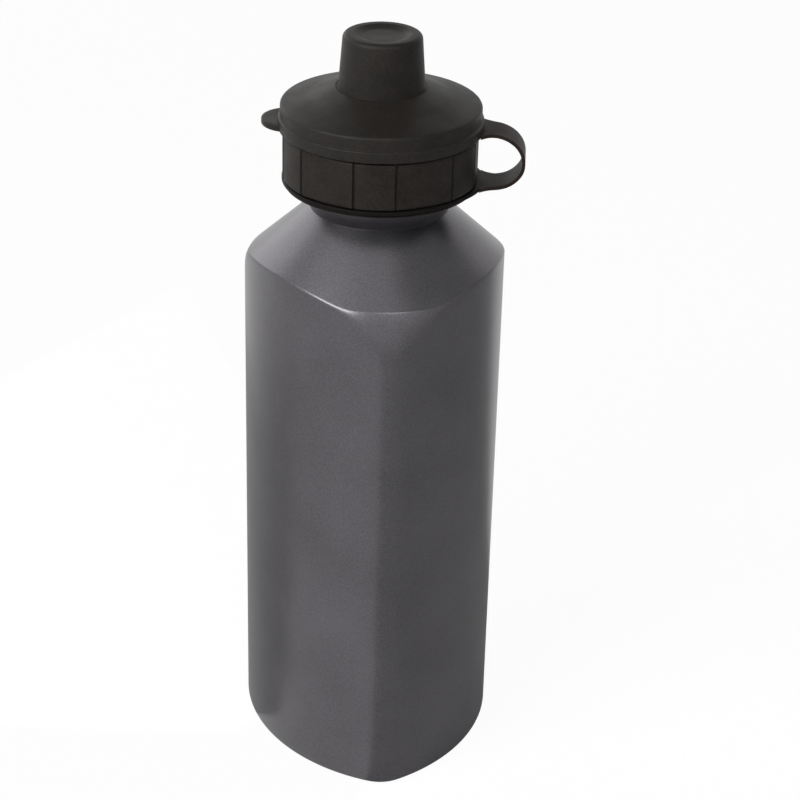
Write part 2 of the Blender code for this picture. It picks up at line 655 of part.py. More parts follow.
def make_strap(axis, plastic):
    """A flat strap that leaves the ring, bends back in a half circle and meets the cover's bead."""
    half = STRAP_THICKNESS / 2
    centre = (STRAP_REACH - half - STRAP_BEND, HINGE_HEIGHT)
    start = SKIRT_BORE
    outline = [(start, RING_MIDDLE - half)]
    outline += arc(centre, STRAP_BEND + half, -90.0, 90.0, BEND_STEPS)
    outline += [(start, STRAP_TOP + half), (start, STRAP_TOP - half)]
    outline += arc(centre, STRAP_BEND - half, 90.0, -90.0, BEND_STEPS)
    outline.append((start, RING_MIDDLE + half))
    strap = prism("strap", outline, -STRAP_WIDTH / 2, STRAP_WIDTH / 2, axis="Y", finish=plastic, parent=axis)
    far = STRAP_BEND + 2 * STRAP_THICKNESS
    cover_clear = COVER_RADIUS + GAP
    root_clear = RING_RADIUS + ROOT_REACH + GAP
    outline = [
        (0.0, HINGE_HEIGHT + far),
        (cover_clear, HINGE_HEIGHT + far),
        (cover_clear, HINGE_HEIGHT),
        (root_clear, HINGE_HEIGHT),
        (root_clear, HINGE_HEIGHT - far),
        (0.0, HINGE_HEIGHT - far),
    ]
    clear = turned("strap_clearance", outline, TURN_STEPS, closed=False, parent=axis)
    boolean(strap, clear, "DIFFERENCE")
    return strap


def main():
    aluminium = material("anodised_aluminium", (0.085, 0.085, 0.092), 0.42, 0.75)
    cap_plastic = material("moulded_polypropylene", (0.020, 0.017, 0.015), 0.5)
    soft_plastic = material("moulded_polyethylene", (0.024, 0.021, 0.018), 0.55)
    rubber = material("silicone_rubber", (0.55, 0.55, 0.53), 0.6)
    loft("bottle_shell", bottle_rings(), finish=aluminium)
    cap_axis = add_empty("cap_axis", (0.0, 0.0, COLLAR_FOOT))
    make_cap(cap_axis, cap_plastic)
    make_gasket(cap_axis, rubber)
    make_seal(cap_axis, rubber)
    make_nozzle(cap_axis, soft_plastic)
    make_ring(cap_axis, soft_plastic)
    make_strap(cap_axis, soft_plastic)
    hinge = add_empty("cover_hinge", (HINGE_REACH, 0.0, HINGE_HEIGHT), cap_axis)
    make_cover(hinge, soft_plastic)
    bpy.context.view_layer.update()


main()
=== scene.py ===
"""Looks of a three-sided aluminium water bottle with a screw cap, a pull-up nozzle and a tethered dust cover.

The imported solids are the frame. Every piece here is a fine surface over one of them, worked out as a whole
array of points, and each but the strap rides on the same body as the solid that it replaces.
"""

import math

import bmesh
import bpy
import numpy as np
from bpy.props import FloatProperty, FloatVectorProperty, IntProperty, PointerProperty
from mathutils import Matrix, Vector


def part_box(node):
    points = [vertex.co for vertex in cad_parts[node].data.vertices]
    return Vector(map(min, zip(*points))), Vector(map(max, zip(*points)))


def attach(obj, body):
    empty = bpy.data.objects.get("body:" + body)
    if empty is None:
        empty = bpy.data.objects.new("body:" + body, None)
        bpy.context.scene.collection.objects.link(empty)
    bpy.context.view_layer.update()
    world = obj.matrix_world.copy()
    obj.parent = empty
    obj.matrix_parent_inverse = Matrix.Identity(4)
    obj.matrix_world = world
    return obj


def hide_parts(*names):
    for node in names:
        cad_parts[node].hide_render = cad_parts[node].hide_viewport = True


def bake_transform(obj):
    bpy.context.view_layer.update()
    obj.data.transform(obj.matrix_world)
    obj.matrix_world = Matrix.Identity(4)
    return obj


bl_info = {
    "name": "Aluminium water bottle",
    "version": (1, 0, 0),
    "blender": (4, 5, 0),
    "location": "View3D > Sidebar > Bottle",
    "description": "Builds the surfaces, finishes and studio of a three-sided aluminium water bottle",
    "category": "Object",
}

MM = 0.001

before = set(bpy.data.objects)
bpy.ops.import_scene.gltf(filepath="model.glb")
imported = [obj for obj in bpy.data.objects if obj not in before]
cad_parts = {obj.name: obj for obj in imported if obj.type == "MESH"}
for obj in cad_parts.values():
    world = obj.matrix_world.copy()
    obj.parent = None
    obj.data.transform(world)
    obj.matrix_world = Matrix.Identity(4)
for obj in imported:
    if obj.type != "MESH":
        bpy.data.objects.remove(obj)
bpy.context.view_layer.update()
SHELL_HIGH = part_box("bottle_shell")[1]
GASKET_LOW, GASKET_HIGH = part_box("gasket")
CAP_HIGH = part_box("screw_cap")[1]
SEAL_LOW, SEAL_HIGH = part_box("stem_seal")
NOZZLE_LOW, NOZZLE_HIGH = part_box("pull_nozzle")
COVER_LOW, COVER_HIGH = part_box("dust_cover")
RING_LOW, RING_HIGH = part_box("tether_ring")
FOOT_TO_RING = 1.1 * MM     # from the collar's nominal foot down to the underside of the tether ring
COLLAR_FOOT = RING_LOW.z + FOOT_TO_RING


def linear(code):
    """An sRGB hex colour as linear red, green, blue and alpha."""
    parts = [int(code[i:i + 2], 16) / 255 for i in (1, 3, 5)]
    return tuple(p / 12.92 if p <= 0.04045 else ((p + 0.055) / 1.055) ** 2.4 for p in parts) + (1.0,)


def length(name, millimetres, text):
    """A length that is given in millimetres and held in metres."""
    return FloatProperty(
        name=name, description=text, default=millimetres * MM, min=0.0, precision=5, unit="LENGTH")


def angle(name, degrees, text):
    """An angle that is given in degrees and held in radians."""
    return FloatProperty(
        name=name, description=text, default=math.radians(degrees), precision=3, unit="ROTATION")


def colour(name, code, text):
    """A colour that is given as an sRGB hex value and held as linear light."""
    return FloatVectorProperty(
        name=name, description=text, default=linear(code), size=4, min=0.0, max=1.0, subtype="COLOR")


class BottleBodySizes(bpy.types.PropertyGroup):
    side_mid: length("Side distance", 33.4, "Axis to the middle of a pressed side")
    side_radius: length("Side radius", 54.1, "Curve of a pressed side, seen from above")
    corner_radius: length("Corner radius", 10.6, "Rounding of each of the three corners")
    blend: angle("Corner blend", 6.0, "Turn over which a side's curve passes into a corner's")
    turn: angle("Turn", 9.9, "From the front round to the nearest corner")
    wall: length("Wall", 1.0, "Thickness of the drawn aluminium")
    base_thickness: length("Base thickness", 1.2, "Thickness of the base")
    base_edge: length("Base edge", 0.8, "Rounding where the base meets the sides")
    foot_width: length("Foot width", 3.6, "Flat rim that the bottle stands on")
    panel_slope: length("Base step", 1.6, "Run of the step up to the base panel")
    base_recess: length("Base recess", 1.0, "Height of the base panel above the rim")
    shoulder_slope: angle("Shoulder slope", 42.8, "Slope of the shoulder's cone, from level")
    rim_radius: length("Rim radius", 36.5, "The can's own round rim, beyond which the corners stand out")
    rim_soft: length("Rim softness", 0.4, "How gently the corners' larger rounding begins")
    rim_bend: angle("Rim bend", 19.0, "How far the metal turns at the rim before a corner's larger rounding")
    crease_round: length("Crease rounding", 1.4, "Rounding between the sides and the shoulder")
    neck_height: length("Neck height", 22.1, "From the top of the shoulder to the mouth")
    neck_radius: length("Neck radius", 21.5, "Outside of the plain neck")
    neck_fillet: length("Neck fillet", 0.01, "Rounding between the shoulder and the neck")
    waist: length("Waist", 2.5, "How far the neck is drawn in under the collar")
    waist_height: length("Waist height", 7.0, "Height over which the waist opens out again")
    curl_radius: length("Lip radius", 1.4, "Rolled lip of the mouth")
    band_swell: length("Band swell", 0.5, "How far the threaded band stands out of the neck")
    band_start: length("Band start", 10.1, "Start of the threaded band above the shoulder")
    band_end: length("Band end", 18.9, "End of the threaded band above the shoulder")
    thread_start: length("Thread start", 9.3, "Start of the thread above the shoulder")
    columns: IntProperty(name="Columns", description="Points round the body", default=288, min=48)


class BottleCapSizes(bpy.types.PropertyGroup):
    skirt_bore: length("Skirt bore", 24.6, "Inside of the collar, at the root of its thread")
    skirt_depth: length("Skirt depth", 14.0, "From the collar's foot to the underside of the deck")
    panel_edge: length("Collar radius", 26.8, "Axis to the edges of the collar's panels")
    panel_radius: length("Panel radius", 45.0, "Curve of a wide panel, flatter than the collar is round")
    wide_panel: angle("Wide panel", 36.0, "Angle that a wide panel takes up")
    panel_turn: angle("Panel turn", 0.7, "From +X round to the middle of the nearest wide panel")
    panel_count: IntProperty(
        name="Wide panels", description="One narrow panel follows each", default=6, min=2)
    groove_width: length("Groove width", 0.9, "Width of the upright grooves between panels")
    groove_depth: length("Groove depth", 0.55, "Depth of the upright grooves between panels")
    collar_top: length("Collar top", 13.4, "Top of the panels above the collar's foot")
    collar_round: length("Collar rounding", 0.8, "Rounding of the collar's top and bottom edges")
    deck_radius: length("Deck radius", 25.1, "Step that the dust cover fits over")
    deck_top: length("Deck height", 16.0, "Top of the step above the collar's foot")
    deck_rise: length("Deck rise", 1.3, "Rise of the deck towards the drinking tower")
    boss_radius: length("Boss radius", 8.2, "Foot of the drinking tower")
    boss_top: length("Boss height", 20.0, "Top of the tower's foot above the collar's foot")
    tower_radius: length("Tower radius", 4.6, "Stem that the nozzle slides on")
    tower_bore: length("Tower bore", 2.6, "Inside of the stem")
    head_radius: length("Head radius", 4.95, "Bead at the head of the stem")
    tower_top: length("Tower height", 29.3, "Top of the stem above the collar's foot")
    pin_radius: length("Stopper radius", 1.6, "Pin that plugs the nozzle's hole")
    pin_length: length("Stopper length", 8.2, "Length of the pin")
    thread_pitch: length("Thread pitch", 4.0, "Rise of the cap in one turn")
    thread_depth: length("Thread depth", 0.9, "Height of the thread's ridge")


class BottleNozzleSizes(bpy.types.PropertyGroup):
    bore: length("Bore", 5.1, "Inside of the nozzle, which slides over the tower's head")
    lip: length("Lip", 4.85, "Inner lip that catches under the tower's head")
    waist: length("Waist", 5.75, "Narrowest outside radius, where it is gripped")
    mouth: length("Mouthpiece", 6.0, "Outside radius at the top")
    mouth_round: length("Mouth rounding", 1.6, "Rounding of the mouthpiece")
    flange_height: length("Flange height", 1.5, "Height of the finger flange")
    hole: length("Hole", 1.9, "Radius of the drinking hole")
    top_wall: length("Top wall", 2.9, "From the nozzle's ceiling to its top")


class BottleCoverSizes(bpy.types.PropertyGroup):
    bead_height: length("Bead height", 3.2, "Height of the bead round the cover's foot")
    band_inset: length("Band inset", 0.55, "How far the band above the bead is set back")
    skirt_height: length("Skirt height", 6.8, "From the cover's foot to the edge of its lid")
    edge_round: length("Edge rounding", 0.9, "Rounding of the lid's edge")
    lid_rise: length("Lid rise", 4.9, "From the lid's edge up to the foot of the nub")
    lid_dip: length("Lid dip", 0.3, "How far the lid sags between the two")
    lid_wall: length("Lid wall", 1.4, "Thickness of the lid")
    nub_foot: length("Nub foot radius", 11.65, "Radius of the nub where it meets the lid")
    nub_radius: length("Nub radius", 10.55, "Radius of the nub at its top")
    nub_round: length("Nub rounding", 2.3, "Rounding of the nub's top edge")
    nub_wall: length("Nub wall", 1.3, "Thickness of the nub's wall")
    dish_radius: length("Dish radius", 7.8, "Radius of the hollow in the nub's top")
    dish_depth: length("Dish depth", 0.9, "Depth of the hollow in the nub's top")
    bore: length("Bore", 25.5, "Inside of the skirt")
    tab_radius: length("Tab radius", 7.4, "Curve of the thumb tab's edge")
    tab_reach: length("Tab reach", 4.6, "How far the tab stands out of the bead")
    tab_thickness: length("Tab thickness", 1.8, "Thickness of the thumb tab")


class BottleTetherSizes(bpy.types.PropertyGroup):
    ring_bore: length("Ring bore", 25.6, "Inside of the tether ring")
    ring_radius: length("Ring radius", 26.6, "Outside of the tether ring")
    root_reach: length("Root reach", 1.6, "How far the ring swells out where the strap leaves it")
    root_radius: length("Root radius", 20.0, "Curve of that swelling")
    strap_width: length("Strap width", 10.5, "Width of the strap")
    strap_thickness: length("Strap thickness", 0.9, "Thickness of the strap")
    flare: length("Flare", 2.4, "How far each edge of the strap spreads at its two roots")
    flare_length: length("Flare length", 4.5, "Length over which it spreads")


class BottleFinishes(bpy.types.PropertyGroup):
    aluminium_dark: colour("Aluminium, dark grain", "#565457", "Low grains of the blasted metal")
    aluminium_pale: colour("Aluminium, pale grain", "#676569", "High grains of the blasted metal")
    cap_dark: colour("Cap", "#1c1917", "Moulded collar, deck and tower")
    cap_pale: colour("Cap, high grain", "#2f2b28", "High grains of the collar's surface")
    cover_dark: colour("Cover", "#171513", "Moulded dust cover")
    cover_pale: colour("Cover, high grain", "#292522", "High grains of the cover's surface")
    tether_dark: colour("Tether", "#241d1a", "Thin strap and ring")
    tether_pale: colour("Tether, high grain", "#322925", "High grains of the strap's surface")
    # The ring is the strap's plastic; this near-black is painted shade for the collar's shadow over it
    ring_painted_shade: colour("Ring", "#0d0b0a", "Thin ring in the collar's shade")
    nozzle_dark: colour("Nozzle", "#1a1919", "Smooth mouthpiece")
    nozzle_pale: colour("Nozzle, high grain", "#232221", "High grains of the mouthpiece")
    silicone: colour("Silicone", "#c9c8c2", "Washer and seal ring")
    silicone_pale: colour("Silicone, bloom", "#dad9d4", "Pale bloom on the silicone")


class BottleStage(bpy.types.PropertyGroup):
    lens: FloatProperty(name="Lens", description="Focal length in millimetres", default=102.3, min=1.0)
    camera: FloatVectorProperty(
        name="Camera", description="Place of the camera", default=(0.03383, -0.57265, 0.40295), unit="LENGTH")
    yaw: angle("Yaw", -2.68, "Turn of the view from +Y towards +X")
    pitch: angle("Pitch", 27.46, "How far the view looks down")
    roll: angle("Roll", -1.51, "Tilt of the picture about the line of sight")
    floor: colour("Floor", "#f4f4f4", "Pale floor and backdrop")
    ambient: FloatProperty(
        name="Ambient", description="Strength of the room's own light", default=0.14, min=0.0)


def in_mm(sizes, *names):
    """Some of a piece's lengths in millimetres, for the corners of an outline."""
    return [getattr(sizes, name) / MM for name in names]


def full_turn(count):
    """Angles evenly spaced once round."""
    return np.linspace(0, math.tau, count, endpoint=False)


def smooth(start, end, values):
    """0 before start, 1 after end, and 3t^2 - 2t^3 between them."""
    share = np.clip((values - start) / (end - start), 0.0, 1.0)
    return share * share * (3 - 2 * share)


def rounded(corners, closed=True, points=8):
    """An outline with soft corners, from rows of two coordinates and a rounding in millimetres.

    Each corner becomes the arc that touches both of its sides. Its tangents are rounding x tan(turn / 2)
    long, but under half of the shorter side. The ends of an open outline stay as they are.
    """
    corners = np.asarray(corners, float) * MM
    here, rounding = corners[:, :2], corners[:, 2]
    before = here - np.roll(here, 1, axis=0)
    after = np.roll(here, -1, axis=0) - here
    long_before = np.linalg.norm(before, axis=1)
    long_after = np.linalg.norm(after, axis=1)
    along = before / long_before[:, None]
    onward = after / long_after[:, None]
    turn = np.arctan2(along[:, 0] * onward[:, 1] - along[:, 1] * onward[:, 0], np.sum(along * onward, axis=1))
    slope = np.tan(np.abs(turn) / 2)
    tangent = np.minimum(rounding * slope, 0.48 * np.minimum(long_before, long_after))
    radius = tangent / np.maximum(slope, 1e-9)
    side = np.stack([-along[:, 1], along[:, 0]], axis=1) * np.sign(turn)[:, None]
    share = np.linspace(0.0, 1.0, points)[None, :, None] * np.abs(turn)[:, None, None]
    arcs = (here - along * tangent[:, None])[:, None, :] + radius[:, None, None] * (
        along[:, None, :] * np.sin(share) + side[:, None, :] * (1 - np.cos(share)))
    if closed:
        return arcs.reshape(-1, 2)
    return np.vstack([here[:1], arcs[1:-1].reshape(-1, 2), here[-1:]])


def refined(outline, longest, closed=True):
    """The same outline with its long stretches split evenly."""
    if closed:
        outline = np.vstack([outline, outline[:1]])
    steps = np.diff(outline, axis=0)
    counts = np.maximum(1, np.ceil(np.linalg.norm(steps, axis=1) / longest).astype(int))
    place = np.repeat(np.arange(len(steps)), counts)
    first = np.repeat(np.cumsum(counts) - counts, counts)
    share = (np.arange(counts.sum()) - first) / np.repeat(counts, counts)
    points = outline[place] + steps[place] * share[:, None]
    return points if closed else np.vstack([points, outline[-1:]])


def around(radius, height, angles):
    """Rows of a turned surface: x = radius cos a, y = radius sin a, z = height. Either may differ with a."""
    radius, height, angles = np.broadcast_arrays(radius, height, angles[None, :])
    return np.stack([radius * np.cos(angles), radius * np.sin(angles), height], axis=-1)


def skin(name, rows, closed=False):
    """One closed mesh over rows x columns x 3 points, with its faces outwards.

    Columns always join round. Rows join round when closed, and otherwise the first and last rows each lie on
    one point, where the doubles are merged into a pole.
    """
    count, across = rows.shape[:2]
    index = np.arange(count * across).reshape(count, across)
    low, high = (index, np.roll(index, -1, axis=0)) if closed else (index[:-1], index[1:])
    quads = np.stack([low, high, np.roll(high, -1, axis=1), np.roll(low, -1, axis=1)], axis=-1)
    mesh = bpy.data.meshes.new(name)
    mesh.from_pydata(rows.reshape(-1, 3).tolist(), [], quads.reshape(-1, 4).tolist())
    bm = bmesh.new()
    bm.from_mesh(mesh)
    bmesh.ops.remove_doubles(bm, verts=bm.verts, dist=1e-7)
    if bm.calc_volume(signed=True) < 0:
        bmesh.ops.reverse_faces(bm, faces=bm.faces)
    bm.to_mesh(mesh)
    bm.free()
    piece = bpy.data.objects.new(name, mesh)
    bpy.context.scene.collection.objects.link(piece)
    smooth_shade(piece)
    return piece


def capped(rows):
    """Rows with a pole added in the middle of the first and of the last one, which closes a bar's ends."""
    ends = rows[[0, -1]].mean(axis=1, keepdims=True) + 0 * rows[[0, -1]]
    return np.concatenate([ends[:1], rows, ends[1:]])


def smooth_shade(piece, sharp=35.0):
    """Smooth shading that stays crisp over edges that turn by more than an angle."""
    piece.data.shade_smooth()
    piece.data.set_sharp_from_angle(angle=math.radians(sharp))


def fuse(piece, tool):
    """Joins a second closed skin to a piece, so that the two are one closed mesh."""
    union = piece.modifiers.new("Fuse", "BOOLEAN")
    union.operation = "UNION"
    union.solver = "EXACT"
    union.object = tool
    depsgraph = bpy.context.evaluated_depsgraph_get()
    joined = bpy.data.meshes.new_from_object(piece.evaluated_get(depsgraph))
    piece.modifiers.clear()
    piece.data = joined
    bpy.data.objects.remove(tool, do_unlink=True)
    smooth_shade(piece)


def dress(piece, finish):
    """Gives a piece its one material."""
    piece.data.materials.clear()
    piece.data.materials.append(finish)


def add(tree, kind, inputs=None, **settings):
    """Adds a node, sets its properties, and fills its inputs with values or links.

    A link is given as a socket, or as a node whose first output is meant.
    """
    made = tree.nodes.new(kind)
    for key, value in settings.items():
        setattr(made, key, value)
    for key, value in (inputs or {}).items():
        if isinstance(value, bpy.types.Node):
            value = value.outputs[0]
        if isinstance(value, bpy.types.NodeSocket):
            tree.links.new(value, made.inputs[key])
        else:
            made.inputs[key].default_value = value
    return made


def new_material(name):
    """An empty node material and its tree."""
    made = bpy.data.materials.new(name)
    made.use_nodes = True
    made.node_tree.nodes.clear()
    return made, made.node_tree


def bead_blasted_aluminium(finishes):
    """Drawn aluminium, blasted with fine glass beads and anodised in a dark grey.

    The blasting gives the eye a satin sheen without streaks and a faint salt-and-pepper grain. Real bead
    marks are near 0.1 mm; they are drawn at 0.4 mm, about a pixel and a half, so that they show. The dyed
    film makes broad, barely paler clouds.
    """
    made, tree = new_material("bead_blasted_anodised_aluminium")
    place = add(tree, "ShaderNodeTexCoord").outputs["Object"]
    grain = add(tree, "ShaderNodeTexNoise", {"Vector": place, "Scale": 1 / (0.4 * MM), "Detail": 2.0})
    cloud = add(tree, "ShaderNodeTexNoise", {"Vector": place, "Scale": 1 / (26 * MM), "Detail": 3.0})
    mottle = add(tree, "ShaderNodeMapRange", {
        "Value": cloud, "From Min": 0.3, "From Max": 0.7, "To Min": -0.12, "To Max": 0.12})
    level = add(tree, "ShaderNodeMath", {0: grain, 1: mottle}, operation="ADD")
    spread = add(tree, "ShaderNodeMapRange", {"Value": level, "From Min": 0.25, "From Max": 0.75})
    tint = add(tree, "ShaderNodeMix", {
        "Factor": spread, "A": finishes.aluminium_dark, "B": finishes.aluminium_pale}, data_type="RGBA")
    gloss = add(tree, "ShaderNodeMapRange", {"Value": grain, "To Min": 0.28, "To Max": 0.36})
    bump = add(tree, "ShaderNodeBump", {"Height": grain, "Strength": 0.5, "Distance": 0.02 * MM})
    shader = add(tree, "ShaderNodeBsdfPrincipled", {
        "Base Color": tint.outputs[2], "Metallic": 1.0, "Roughness": gloss, "Normal": bump})
    add(tree, "ShaderNodeOutputMaterial", {"Surface": shader})
    return made


def moulded_plastic(name, dark, pale, grain_size, roughness, specular=0.25):
    """Injection-moulded polyolefin against a spark-eroded tool.

    The tool's fine pits leave an even matt grain, which is drawn about four times as coarse as it is, so
    that it shows. The resin's own skin shows as soft patches, 7 mm apart, that are slightly shinier.
    """
    made, tree = new_material(name)
    place = add(tree, "ShaderNodeTexCoord").outputs["Object"]
    grain = add(tree, "ShaderNodeTexNoise", {"Vector": place, "Scale": 1 / grain_size, "Detail": 2.0})
    patch = add(tree, "ShaderNodeTexNoise", {"Vector": place, "Scale": 1 / (7 * MM), "Detail": 2.0})
    level = add(tree, "ShaderNodeMix", {"Factor": 0.35, "A": grain, "B": patch})
    spread = add(tree, "ShaderNodeMapRange", {"Value": level, "From Min": 0.3, "From Max": 0.7})
    tint = add(tree, "ShaderNodeMix", {"Factor": spread, "A": dark, "B": pale}, data_type="RGBA")
    gloss = add(tree, "ShaderNodeMapRange", {
        "Value": patch, "From Min": 0.3, "From Max": 0.7,
        "To Min": roughness + 0.04, "To Max": roughness - 0.04})
    bump = add(tree, "ShaderNodeBump", {"Height": grain, "Strength": 0.6, "Distance": 0.03 * MM})
    shader = add(tree, "ShaderNodeBsdfPrincipled", {
        "Base Color": tint.outputs[2], "Roughness": gloss, "IOR": 1.5, "Specular IOR Level": specular,
        "Normal": bump})
    add(tree, "ShaderNodeOutputMaterial", {"Surface": shader})
    return made


def thread(angles, height, pitch, start, end, depth):
    """Ridge of a right-handed screw thread over its wall, at each angle and height.

    The phase (height - start) / pitch - angle / turn is whole on the crest. The crest is a smooth bump that
    takes up two thirds of a pitch, and it fades out over half a pitch at both ends.
    """
    phase = (height - start) / pitch - angles / math.tau
    away = np.abs(phase - np.round(phase))
    crest = 1 - smooth(0.1, 0.34, away)
    fade = smooth(start, start + pitch / 2, height) * (1 - smooth(end - pitch / 2, end, height))
    return depth * crest * fade


def body_plan(sizes):
    """Plan of the body and its outward normals, as two arrays of columns x 2.

    The normal turns once round. The radius of curvature swings between a pressed side's and a corner's with
    smooth steps, the curve is that radius summed up along the turn, and it is then pushed out evenly to the
    side distance.
    """
    third = math.tau / 3
    facing = sizes.turn - math.radians(30)
    reach = sizes.side_radius - sizes.side_mid
    spread = sizes.side_radius - sizes.corner_radius
    corner = (math.sqrt(4 * spread ** 2 - 3 * reach ** 2) - reach) / 2
    half = math.atan2(corner * math.sin(third / 2), corner * math.cos(third / 2) + reach)
    turn = np.linspace(0.0, math.tau, 3601)
    away = np.abs((turn - facing + third / 2) % third - third / 2)
    side = 1 - smooth(half - sizes.blend, half + sizes.blend, away)
    radius = sizes.corner_radius + (sizes.side_radius - sizes.corner_radius) * side
    step = (radius[1:] + radius[:-1]) / 2 * np.diff(turn)
    middle = (turn[1:] + turn[:-1]) / 2
    curve = np.cumsum(np.stack([-np.sin(middle) * step, np.cos(middle) * step], axis=1), axis=0)
    curve = np.vstack([np.zeros((1, 2)), curve])
    curve -= curve[:-1].mean(axis=0)
    travel = np.concatenate([[0.0], np.cumsum(step)]) / step.sum()
    measure = (travel + turn / math.tau) / 2
    wanted = np.linspace(0.0, 1.0, sizes.columns, endpoint=False)
    normal_angle = np.interp(wanted, measure, turn)
    plan = np.stack([np.interp(wanted, measure, curve[:, i]) for i in (0, 1)], axis=1)
    normal = np.stack([np.cos(normal_angle), np.sin(normal_angle)], axis=1)
    nearest = np.argmin(np.abs((normal_angle - facing + third / 2) % third - third / 2))
    plan += normal * (sizes.side_mid - plan[nearest] @ normal[nearest])
    return plan, normal


def level_rows(plan, normal, outline):
    """Level rows of the body's plan, drawn in by each point's inset and lifted to its height."""
    flat = plan[None] - normal[None] * outline[:, 0, None, None]
    lift = np.broadcast_to(outline[:, 1, None, None], flat.shape[:2] + (1,))
    return np.concatenate([flat, lift], axis=2)


def waist_foot(sizes):
    """Height at which the fillet between the shoulder and the neck's waist ends."""
    slope = sizes.shoulder_slope
    fillet = sizes.neck_fillet * math.tan((math.radians(90) - slope) / 2)
    return SHELL_HIGH.z - sizes.neck_height + sizes.waist * math.tan(slope) + fillet


def shoulder_rows(sizes, plan, inset, wall_foot):
    """Wall, crease, shoulder cone and neck fillet, from the wall's foot up.

    In each upright plane through the axis the wall is straight, two arcs turn it to the cone's slope, and a
    hollow arc turns it upright again at the neck. The second arc is the tight bend c of the can's own round
    rim, of radius R. The first spans from there to the wall's reach r, so its radius is
    c + s log(1 + exp((r - R) / s)) / (1 - cos turn), large where a corner stands out past the rim.
    """
    slope = sizes.shoulder_slope
    bend = math.radians(90) - slope
    outer = bend - sizes.rim_bend
    neck_foot = SHELL_HIGH.z - sizes.neck_height
    reach = np.linalg.norm(plan, axis=1)
    past = sizes.rim_soft * np.logaddexp(0, (reach - sizes.rim_radius + inset) / sizes.rim_soft)
    tight = sizes.crease_round - inset
    wide = tight + past / (1 - math.cos(outer))
    line = neck_foot + sizes.neck_radius * math.tan(slope) - inset / math.cos(slope)
    turn = np.concatenate([np.linspace(0.0, outer, 17), np.linspace(outer, bend, 13)[1:]])[:, None]
    first = np.minimum(turn, outer)
    bend_reach = reach - wide * (1 - np.cos(first)) - tight * (np.cos(first) - np.cos(turn))
    bend_lift = wide * np.sin(first) + tight * (np.sin(turn) - np.sin(first))
    crease_height = line - bend_reach[-1] * math.tan(slope) - bend_lift[-1]
    bend_height = crease_height + bend_lift
    fillet = sizes.neck_fillet + inset
    hollow = np.linspace(math.pi + bend, math.pi, 9)[:, None]
    dip_reach = sizes.neck_radius - sizes.waist + sizes.neck_fillet + fillet * np.cos(hollow) + 0 * reach
    dip_height = waist_foot(sizes) + fillet * np.sin(hollow) + 0 * reach
    climb = np.linspace(0.0, 1.0, 11)[:-1, None]
    wall_reach = reach + 0 * climb
    wall_height = wall_foot + (crease_height - wall_foot) * climb
    rise = np.linspace(0.0, 1.0, 9)[1:-1, None]
    slope_reach = bend_reach[-1] + (dip_reach[0] - bend_reach[-1]) * rise
    slope_height = bend_height[-1] + (dip_height[0] - bend_height[-1]) * rise
    out = np.vstack([wall_reach, bend_reach, slope_reach, dip_reach])
    up = np.vstack([wall_height, bend_height, slope_height, dip_height])
    direction = plan / reach[:, None]
    return np.concatenate([direction[None] * out[:, :, None], up[:, :, None]], axis=2)


class BOTTLE_OT_body(bpy.types.Operator):
    """Build the three-sided aluminium body with its shoulder, threaded neck and rolled lip"""

    bl_idname = "bottle.body"
    bl_label = "Body"

    def execute(self, context):
        sizes = context.scene.bottle_body
        cap = context.scene.bottle_cap
        plan, normal = body_plan(sizes)
        inner = plan - normal * sizes.wall
        angles = np.arctan2(plan[:, 1], plan[:, 0])
        mouth = SHELL_HIGH.z
        neck_foot = mouth - sizes.neck_height
        foot = sizes.base_edge + sizes.foot_width
        panel = foot + sizes.panel_slope
        wall_foot = 3 * sizes.base_edge

        base = rounded([
            (panel / MM + 1, sizes.base_recess / MM, 0),
            (panel / MM, sizes.base_recess / MM, 1.2),
            (foot / MM, 0, 1.2),
            (0, 0, sizes.base_edge / MM),
            (0, wall_foot / MM, 0)], closed=False)[:-1]
        floor = sizes.base_thickness / MM
        tray = rounded([
            (0, wall_foot / MM, 0),
            (0, floor, 1.6),
            (foot / MM - 1, floor, 1.2),
            (panel / MM - 1, floor + sizes.base_recess / MM, 1.2),
            (panel / MM, floor + sizes.base_recess / MM, 0)], closed=False)[1:]

        curl = sizes.curl_radius
        bore = sizes.neck_radius - sizes.wall
        under = math.acos((sizes.wall - curl) / curl)
        lip = np.linspace(-under, math.pi, 22)[:, None]
        lip_reach = bore + curl + curl * np.cos(lip)
        lip_height = mouth - curl + curl * np.sin(lip)
        fillet_top = waist_foot(sizes)
        up = np.linspace(fillet_top, lip_height[0, 0], 64)[1:-1, None]
        opening = np.clip((up - fillet_top) / sizes.waist_height, 0.0, 1.0)
        drawn_in = sizes.waist * (1 - opening) ** 1.5    # the neck leans out most at its foot
        above = up - neck_foot
        ramp = 1.2 * MM
        band = sizes.band_swell * (
            smooth(sizes.band_start, sizes.band_start + ramp, above)
            - smooth(sizes.band_end - ramp, sizes.band_end, above))
        thread_end = sizes.neck_height - 2.6 * MM    # clear of the rolled lip
        ridge = thread(
            angles[None], above, cap.thread_pitch, sizes.thread_start, thread_end, cap.thread_depth)
        neck = around(sizes.neck_radius - drawn_in + band + ridge, up, angles)
        throat = around(bore - drawn_in[::-3], up[::-3], angles)

        outside = shoulder_rows(sizes, plan, 0.0, wall_foot)
        inside = shoulder_rows(sizes, inner, sizes.wall, wall_foot)[::-1]
        pole = np.zeros((1, sizes.columns, 3))
        rows = np.concatenate([
            pole + [0, 0, sizes.base_recess],
            level_rows(plan, normal, base),
            outside,
            neck,
            around(lip_reach, lip_height, angles),
            throat,
            inside,
            level_rows(inner, normal, tray),
            pole + [0, 0, sizes.base_thickness + sizes.base_recess]])
        piece = skin("body_shell", rows)
        dress(piece, bead_blasted_aluminium(context.scene.bottle_finishes))
        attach(piece, "bottle")
        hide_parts("bottle_shell")
        return {"FINISHED"}


